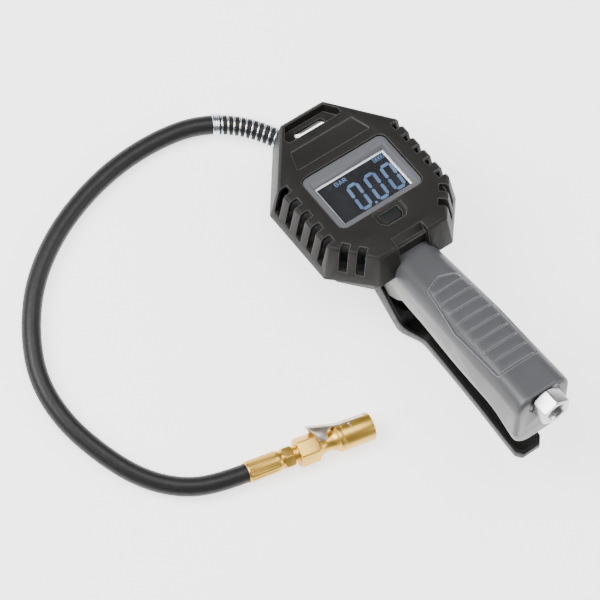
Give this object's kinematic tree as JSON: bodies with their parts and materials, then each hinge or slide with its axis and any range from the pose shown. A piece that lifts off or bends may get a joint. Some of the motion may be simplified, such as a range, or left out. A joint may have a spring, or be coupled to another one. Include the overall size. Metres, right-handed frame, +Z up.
{
  "type": "digital tyre inflator with gauge",
  "caption": "Hand-held tyre inflator: digital pressure display in a rubber boot, pistol grip with a long trigger lever, and a short hose ending in a clip-on chuck.",
  "frame": {"origin": "ground point under the middle of the tool's own box, without the hose and chuck", "axes": "+Z up from the ground, +Y from the grip towards the hanging loop, +X to the right of the display as it is read"},
  "size_m": [0.2901, 0.3059, 0.1311],
  "materials": {
    "boot_rubber": "matte moulded",
    "housing_plastic": "fine moulded texture",
    "bezel_plastic": "satin moulded",
    "lens_plastic": "clear, polished",
    "lcd_glass": "dark display glass",
    "light_guide": "milky",
    "circuit_green": "solder mask",
    "switch_black": "moulded",
    "battery_wrap": "printed sleeve without text",
    "steel": "zinc plated",
    "spring_steel": "bright drawn wire",
    "grip_plastic": "fine moulded texture",
    "grip_lower_plastic": "fine moulded texture",
    "lever_black": "satin black powder coat",
    "inlet_nickel": "bright turned",
    "valve_brass": "turned",
    "sensor_silver": "satin",
    "tube_nylon": "smooth tube",
    "seal_rubber": "matte",
    "hose_rubber": "smooth matte",
    "clip_nickel": "nickel plated"
  },
  "bodies": {
    "tool": {"head_boot": "boot_rubber", "front_housing": "housing_plastic", "rear_housing": "housing_plastic", "housing_screws": "steel", "battery_cover": "housing_plastic", "battery_1": "battery_wrap", "battery_2": "battery_wrap", "battery_contacts": "spring_steel", "display_bezel": "bezel_plastic", "display_lens": "lens_plastic", "lcd_frame": "steel", "lcd_panel": "lcd_glass", "lcd_backlight": "light_guide", "circuit_board": "circuit_green", "button_switch": "switch_black", "pressure_sensor": "sensor_silver", "sensor_tube": "tube_nylon", "air_tube": "tube_nylon", "air_manifold": "valve_brass", "handle_upper_shell": "grip_plastic", "handle_lower_shell": "grip_lower_plastic", "handle_screws": "steel", "inlet_adaptor": "inlet_nickel", "inlet_filter": "valve_brass", "inlet_seal": "seal_rubber", "supply_pipe": "tube_nylon", "valve_block": "sensor_silver", "valve_seat_seal": "seal_rubber", "valve_spring": "spring_steel", "valve_cap": "valve_brass", "pivot_pin": "steel", "pivot_clips": "spring_steel", "outlet_union": "valve_brass", "outlet_seal": "seal_rubber", "spring_guard": "spring_steel", "hose": "hose_rubber", "hose_ferrule": "valve_brass", "hose_tail": "valve_brass", "chuck_body": "valve_brass", "chuck_seal": "seal_rubber", "chuck_valve_spring": "spring_steel", "chuck_clip_pin": "steel", "chuck_clip_spring": "spring_steel"},
    "trigger": {"trigger_lever": "lever_black"},
    "stem": {"valve_stem": "valve_brass"},
    "button": {"mode_button": "boot_rubber"},
    "clip": {"chuck_clip": "clip_nickel"},
    "depressor": {"chuck_depressor": "valve_brass"}
  },
  "joints": [
    {"name": "trigger_pull", "type": "hinge", "parent": "tool", "child": "trigger", "pos_m": [0, 0.02842, 0.0167], "axis": [-1, 0, 0], "range_deg": [0, 9], "stiffness_Nm_per_rad": 3, "springref_deg": -8.59},
    {"name": "valve_stroke", "type": "slide", "parent": "tool", "child": "stem", "axis": [0, 0.3548, 0.9349], "range_m": [0, 0.0046], "deforming": ["valve_spring"]},
    {"name": "button_press", "type": "slide", "parent": "tool", "child": "button", "axis": [0, -0.3548, -0.9349], "range_m": [0, 0.0008], "stiffness_N_per_m": 500, "springref_m": -0.0005},
    {"name": "clip_squeeze", "type": "hinge", "parent": "tool", "child": "clip", "pos_m": [-0.08054, -0.0504, 0.01307], "axis": [-0.0897, -0.4608, 0.8829], "range_deg": [0, 6], "stiffness_Nm_per_rad": 0.5, "springref_deg": -8.59, "deforming": ["chuck_clip_spring"]},
    {"name": "depressor_push", "type": "slide", "parent": "tool", "child": "depressor", "axis": [-0.9816, 0.1911, 0], "range_m": [0, 0.0015], "stiffness_N_per_m": 400, "springref_m": -0.001, "deforming": ["chuck_valve_spring"]}
  ],
  "couplings": [
    {"joint": "valve_stroke", "follows": "trigger_pull", "m_per_rad": 0.029}
  ]
}
